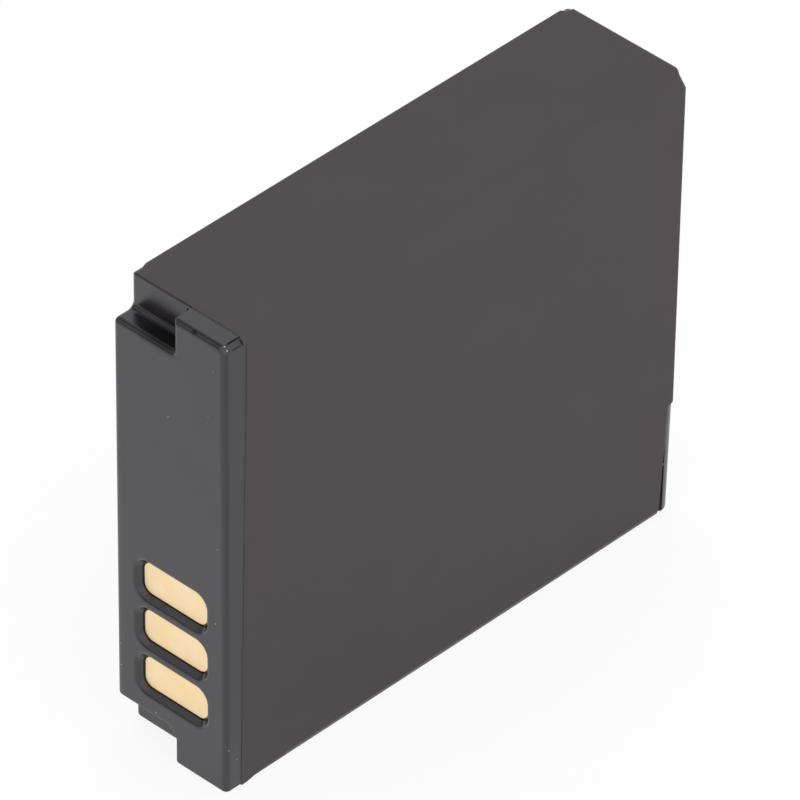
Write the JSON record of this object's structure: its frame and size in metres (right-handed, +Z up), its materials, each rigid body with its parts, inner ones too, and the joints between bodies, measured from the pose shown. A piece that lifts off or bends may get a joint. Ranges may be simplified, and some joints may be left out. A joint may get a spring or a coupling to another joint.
{
  "type": "camera battery",
  "caption": "Flat rechargeable camera battery pack: a sealed prismatic cell in a moulded frame, a cap with contact windows and keying notches, and a wrapped film label.",
  "frame": {"origin": "on the surface that the pack stands on, under the middle of its outer box", "axes": "+X from the contact end to the far end, +Y from the big face beside the narrow plain strip to the big face with the notches, +Z up from the lower narrow face to the upper one"},
  "size_m": [0.041, 0.0098, 0.035],
  "materials": {
    "moulded_plastic": "black, semi-gloss moulding with soft edges",
    "label_film": "dark warm grey film, matte and unprinted",
    "can_metal": "drawn, satin",
    "strip_metal": "nickel, rolled",
    "inner_plastic": "plain moulded",
    "fibre_sheet": "pressed insulating sheet",
    "board_laminate": "green solder mask",
    "chip_resin": "black moulding compound",
    "chip_ceramic": "tan ceramic",
    "solder_metal": "bright, smooth",
    "tape_film": "adhesive tape",
    "contact_gold": "gold plated, satin"
  },
  "bodies": {
    "root": {"front_cap": "moulded_plastic", "case_frame": "moulded_plastic", "label_wrap": "label_film", "cell_can": "can_metal", "cell_terminal": "strip_metal", "terminal_gasket": "inner_plastic", "fill_plug": "can_metal", "positive_plate": "strip_metal", "lid_insulator": "fibre_sheet", "thermal_fuse": "inner_plastic", "fuse_lead": "strip_metal", "negative_tab": "strip_metal", "positive_tab": "strip_metal", "circuit_board": "board_laminate", "protection_ic": "chip_resin", "mosfet_pair": "chip_resin", "thermistor": "chip_resin", "capacitor_1": "chip_ceramic", "capacitor_2": "chip_ceramic", "resistor_1": "chip_resin", "resistor_2": "chip_resin", "solder_joints": "solder_metal", "board_spacer": "inner_plastic", "rear_tape": "tape_film", "contact_minus": "contact_gold", "contact_sense": "contact_gold", "contact_plus": "contact_gold"}
  },
  "joints": []
}
